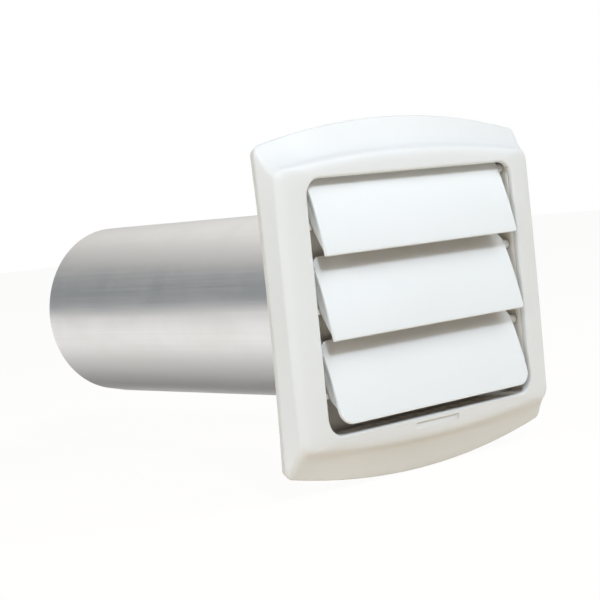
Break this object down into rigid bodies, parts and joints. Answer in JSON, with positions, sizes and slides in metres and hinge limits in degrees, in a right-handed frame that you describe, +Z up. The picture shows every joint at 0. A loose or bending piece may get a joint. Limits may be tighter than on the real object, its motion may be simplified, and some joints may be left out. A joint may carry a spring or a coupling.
{
  "type": "louvred wall exhaust vent hood",
  "caption": "Louvred wall exhaust vent hood: arched clip-on cover, gravity-closed swinging louvres, base plate with duct collar and a round aluminium tail pipe.",
  "frame": {"origin": "on the duct axis, in the plane of the wall that the base plate's back lies against", "axes": "+Z up, +Y along the tail pipe into the wall, -Y out of the front of the hood, +X to the right seen from the front"},
  "size_m": [0.1896, 0.2756, 0.1824],
  "materials": {
    "cover_plastic": "white moulded plastic, low sheen",
    "carrier_plastic": "off-white moulded plastic",
    "plate_plastic": "white moulded plastic",
    "louvre_plastic": "smooth white moulded plastic",
    "pipe_aluminium": "mill-finish rolled sheet",
    "rivet_aluminium": "plain",
    "screw_steel": "zinc plated"
  },
  "bodies": {
    "hood": {"cover_frame": "cover_plastic", "louvre_carrier": "carrier_plastic", "base_plate": "plate_plastic", "tail_pipe": "pipe_aluminium", "collar_rivet_1": "rivet_aluminium", "collar_rivet_2": "rivet_aluminium", "collar_rivet_3": "rivet_aluminium", "carrier_screw_1": "screw_steel", "carrier_screw_2": "screw_steel", "carrier_screw_3": "screw_steel", "carrier_screw_4": "screw_steel"},
    "top_louvre": {"top_louvre": "louvre_plastic"},
    "middle_louvre": {"middle_louvre": "louvre_plastic"},
    "bottom_louvre": {"bottom_louvre": "louvre_plastic"}
  },
  "joints": [
    {"name": "top_louvre_swing", "type": "hinge", "parent": "hood", "child": "top_louvre", "pos_m": [0, -0.009, 0.0633], "axis": [-1, 0, 0], "range_deg": [0, 60]},
    {"name": "middle_louvre_swing", "type": "hinge", "parent": "hood", "child": "middle_louvre", "pos_m": [0, -0.009, 0.0221], "axis": [-1, 0, 0], "range_deg": [0, 60]},
    {"name": "bottom_louvre_swing", "type": "hinge", "parent": "hood", "child": "bottom_louvre", "pos_m": [0, -0.009, -0.0191], "axis": [-1, 0, 0], "range_deg": [0, 60]}
  ]
}
